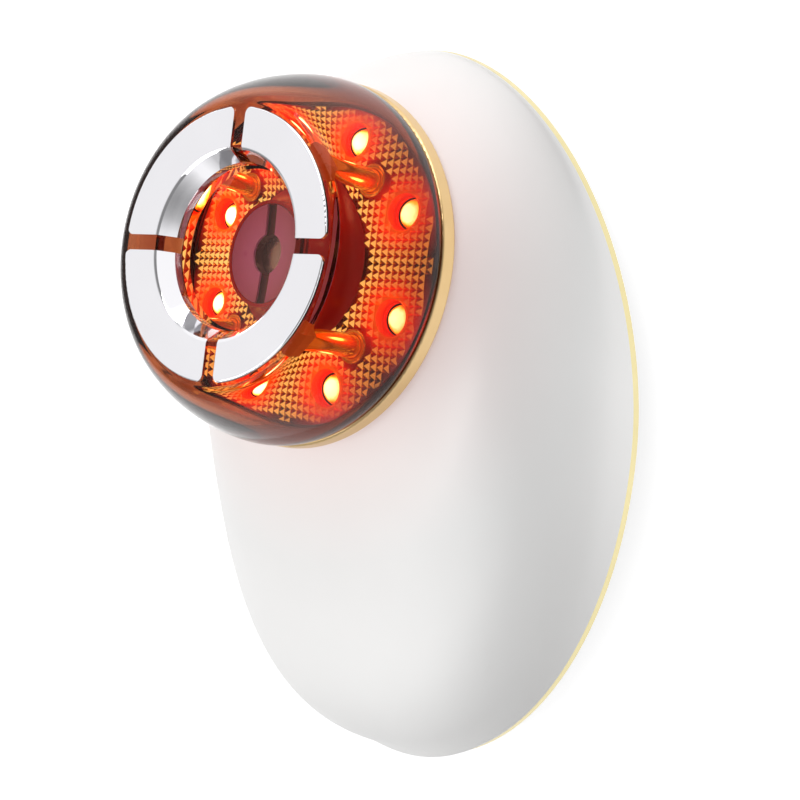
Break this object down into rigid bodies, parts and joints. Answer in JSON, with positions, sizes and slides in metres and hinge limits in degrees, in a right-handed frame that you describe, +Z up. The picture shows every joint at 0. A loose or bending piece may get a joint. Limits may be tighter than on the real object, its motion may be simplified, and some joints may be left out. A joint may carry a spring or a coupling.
{
  "type": "facial toning device",
  "caption": "Palm-held facial toning device: oval white body with a gold rear band, and a round head with a clear amber dome, mirror electrodes and red lamps.",
  "frame": {"origin": "on the surface the device lies on, under the middle of its outline", "axes": "+Y towards the head end along the body, +Z up, the way the head faces, +X across"},
  "size_m": [0.0888, 0.1172, 0.0604],
  "materials": {
    "white_shell": "satin pearl",
    "button_white": "satin",
    "plug_white": "matt",
    "gold_trim": "satin champagne gold, anodised",
    "smoky_amber": "clear smoky amber",
    "mirror_electrode": "mirror",
    "gold_post": "polished gold plate",
    "gold_reflector": "vacuum metallised gold",
    "red_lamp": "clear red lamp",
    "circuit_board": "solder mask",
    "dark_red_hub": "gloss",
    "mauve_cap": "satin",
    "silver_lens": "coated",
    "black_rubber": "matt",
    "grey_plastic": "moulded",
    "steel_screw": "zinc plated",
    "battery_wrap": "foil pouch",
    "motor_steel": "pressed",
    "black_component": "moulded",
    "socket_metal": "stamped",
    "light_pipe": "frosted clear"
  },
  "bodies": {
    "device": {"back_cover": "white_shell", "battery": "battery_wrap", "board_capacitors": "black_component", "carrier_screws": "steel_screw", "centre_hub": "dark_red_hub", "charging_socket": "socket_metal", "controller_chip": "black_component", "cover_screws": "steel_screw", "dome_lens": "smoky_amber", "electrode_1": "mirror_electrode", "electrode_2": "mirror_electrode", "electrode_3": "mirror_electrode", "electrode_4": "mirror_electrode", "electrode_post_1": "gold_post", "electrode_post_2": "gold_post", "electrode_post_3": "gold_post", "electrode_post_4": "gold_post", "front_shell": "white_shell", "head_bezel": "gold_trim", "head_carrier": "grey_plastic", "head_seal": "black_rubber", "housing_seal": "black_rubber", "hub_cap": "mauve_cap", "inner_frame": "grey_plastic", "lamp_board": "circuit_board", "led_lamps": "red_lamp", "level_lights": "light_pipe", "main_board": "circuit_board", "mode_switch": "black_component", "power_switch": "black_component", "pulse_transformer": "black_component", "reflector_plate": "gold_reflector", "rim_band": "gold_trim", "screw_plugs": "plug_white", "sensor_lens": "silver_lens", "socket_tongue": "black_component", "vibration_motor": "motor_steel"},
    "power_button": {"power_button": "button_white"},
    "mode_button": {"mode_button": "button_white"}
  },
  "joints": [
    {"name": "power_press", "type": "slide", "parent": "device", "child": "power_button", "axis": [0, 0, 1], "range_m": [0, 0.0006], "stiffness_N_per_m": 1500},
    {"name": "mode_press", "type": "slide", "parent": "device", "child": "mode_button", "axis": [0, 0, 1], "range_m": [0, 0.0006], "stiffness_N_per_m": 1500}
  ]
}
